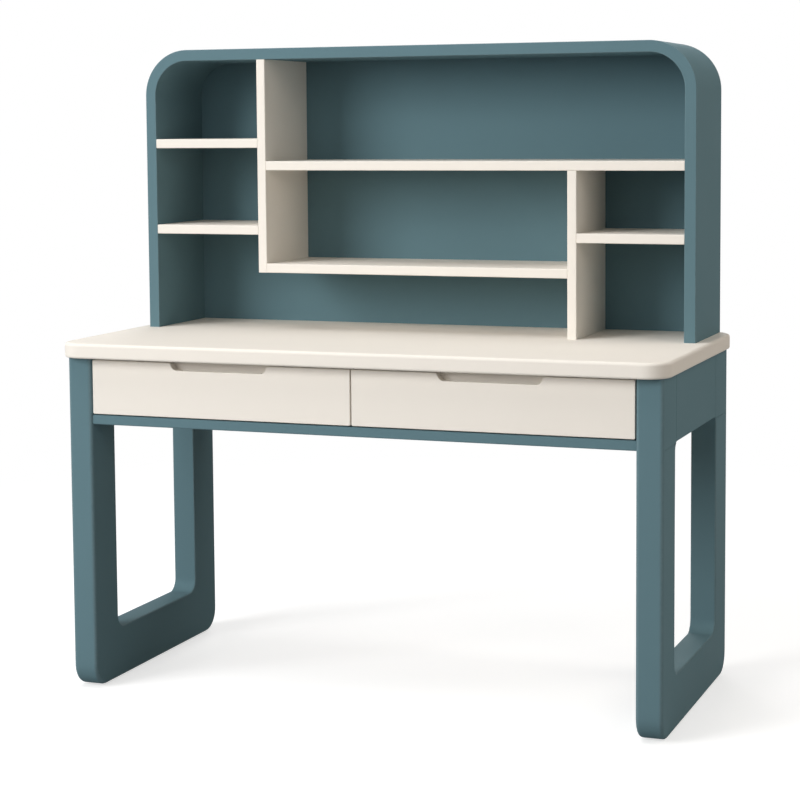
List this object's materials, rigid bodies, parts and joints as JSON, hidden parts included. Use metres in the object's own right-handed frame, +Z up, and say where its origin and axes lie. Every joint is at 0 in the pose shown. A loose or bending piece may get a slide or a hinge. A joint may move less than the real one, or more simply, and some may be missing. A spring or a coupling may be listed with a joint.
{
  "type": "student desk with hutch",
  "caption": "Writing desk on U-shaped leg frames with drawers under its rounded top and a bent-shell shelf unit with dividers and shelves on it.",
  "frame": {"origin": "on the floor, under the middle of the desk top", "axes": "+X to the sitter's right, +Y to the rear of the desk, +Z up"},
  "size_m": [1.3, 0.62, 1.356],
  "materials": {
    "teal_lacquer": "satin lacquer",
    "cream_lacquer": "satin lacquer",
    "birch_plywood": "clear lacquer",
    "beech": "bare",
    "zinc_steel": "bright zinc plate",
    "cam_metal": "die-cast zinc",
    "ball_cage_brass": "bright",
    "nylon": "matte"
  },
  "bodies": {
    "desk": {"tabletop": "cream_lacquer", "left_leg_frame": "teal_lacquer", "right_leg_frame": "teal_lacquer", "left_side_apron": "teal_lacquer", "right_side_apron": "teal_lacquer", "drawer_rail": "teal_lacquer", "rear_apron": "teal_lacquer", "centre_partition": "teal_lacquer", "floor_glides": "nylon", "post_dowels": "beech", "apron_dowels": "beech", "case_dowels": "beech", "cam_locks": "cam_metal", "cam_bolts": "zinc_steel", "top_brackets": "zinc_steel", "bracket_screws": "zinc_steel", "outer_runner_screws": "zinc_steel", "left_drawer_outer_runners": "zinc_steel", "right_drawer_outer_runners": "zinc_steel", "hutch_shell": "teal_lacquer", "hutch_back_panel": "teal_lacquer", "hutch_dowels": "beech", "hutch_bolts": "zinc_steel", "hutch_inserts": "ball_cage_brass", "back_panel_screws": "zinc_steel", "left_divider": "cream_lacquer", "right_divider": "cream_lacquer", "upper_left_shelf": "cream_lacquer", "lower_left_shelf": "cream_lacquer", "long_shelf": "cream_lacquer", "middle_shelf": "cream_lacquer", "right_shelf": "cream_lacquer"},
    "left_drawer": {"left_drawer_front": "cream_lacquer", "left_drawer_box_front": "cream_lacquer", "left_drawer_outer_side": "birch_plywood", "left_drawer_inner_side": "birch_plywood", "left_drawer_back": "birch_plywood", "left_drawer_bottom": "birch_plywood", "left_drawer_front_screws": "zinc_steel", "left_drawer_box_screws": "zinc_steel", "left_drawer_runner_screws": "zinc_steel", "left_drawer_inner_runners": "zinc_steel"},
    "left_runners": {"left_drawer_middle_runners": "zinc_steel", "left_drawer_ball_cages": "ball_cage_brass"},
    "right_drawer": {"right_drawer_front": "cream_lacquer", "right_drawer_box_front": "cream_lacquer", "right_drawer_outer_side": "birch_plywood", "right_drawer_inner_side": "birch_plywood", "right_drawer_back": "birch_plywood", "right_drawer_bottom": "birch_plywood", "right_drawer_front_screws": "zinc_steel", "right_drawer_box_screws": "zinc_steel", "right_drawer_runner_screws": "zinc_steel", "right_drawer_inner_runners": "zinc_steel"},
    "right_runners": {"right_drawer_middle_runners": "zinc_steel", "right_drawer_ball_cages": "ball_cage_brass"}
  },
  "joints": [
    {"name": "left_drawer_slide", "type": "slide", "parent": "desk", "child": "left_drawer", "axis": [0, -1, 0], "range_m": [0, 0.4]},
    {"name": "left_runner_slide", "type": "slide", "parent": "desk", "child": "left_runners", "axis": [0, -1, 0], "range_m": [0, 0.2]},
    {"name": "right_drawer_slide", "type": "slide", "parent": "desk", "child": "right_drawer", "axis": [0, -1, 0], "range_m": [0, 0.4]},
    {"name": "right_runner_slide", "type": "slide", "parent": "desk", "child": "right_runners", "axis": [0, -1, 0], "range_m": [0, 0.2]}
  ],
  "couplings": [
    {"joint": "left_runner_slide", "follows": "left_drawer_slide", "ratio": 0.5},
    {"joint": "right_runner_slide", "follows": "right_drawer_slide", "ratio": 0.5}
  ]
}
